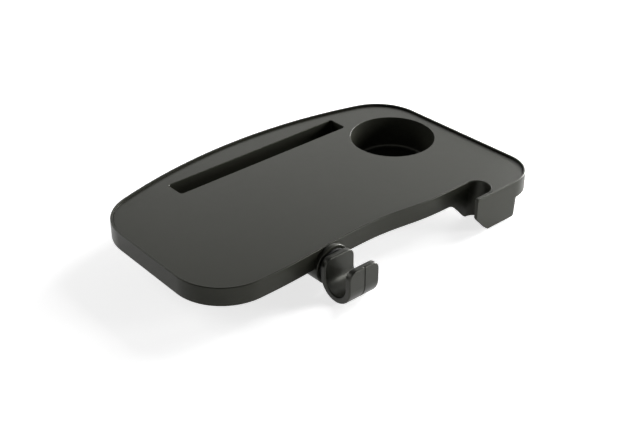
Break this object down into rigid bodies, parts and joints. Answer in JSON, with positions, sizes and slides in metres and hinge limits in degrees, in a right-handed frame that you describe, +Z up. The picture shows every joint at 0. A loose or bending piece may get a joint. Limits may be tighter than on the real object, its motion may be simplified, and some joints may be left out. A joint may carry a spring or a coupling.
{
  "type": "camping chair side tray",
  "caption": "Clip-on side tray for a camping chair: raised-rim deck with a cup well and a tablet slot, a corner fork for an upright tube and a swivel hook for a level one.",
  "frame": {"origin": "under the middle of the whole tray's bounding box, level with the hook's lowest point", "axes": "+Z up out of the deck, +X along the front edge towards the cup well and the fork, +Y away from the chair"},
  "size_m": [0.3696, 0.25, 0.0398],
  "materials": {
    "tray_plastic": "fine spark texture, charcoal",
    "hook_plastic": "smooth satin, charcoal",
    "rubber": "matt, black",
    "acetal": "smooth, natural",
    "steel": "zinc plated",
    "brass": "turned"
  },
  "bodies": {
    "tray": {"tray_shell": "tray_plastic", "hub_bush": "acetal"},
    "hook": {"swivel_hook": "hook_plastic", "friction_ring": "rubber", "wave_spring": "steel", "flat_washer": "steel", "pivot_screw": "steel", "threaded_insert": "brass"}
  },
  "joints": [
    {"name": "hook_swivel", "type": "hinge", "parent": "tray", "child": "hook", "pos_m": [-0.05572, -0.08515, 0.0208], "axis": [0, -1, 0], "continuous": true}
  ]
}
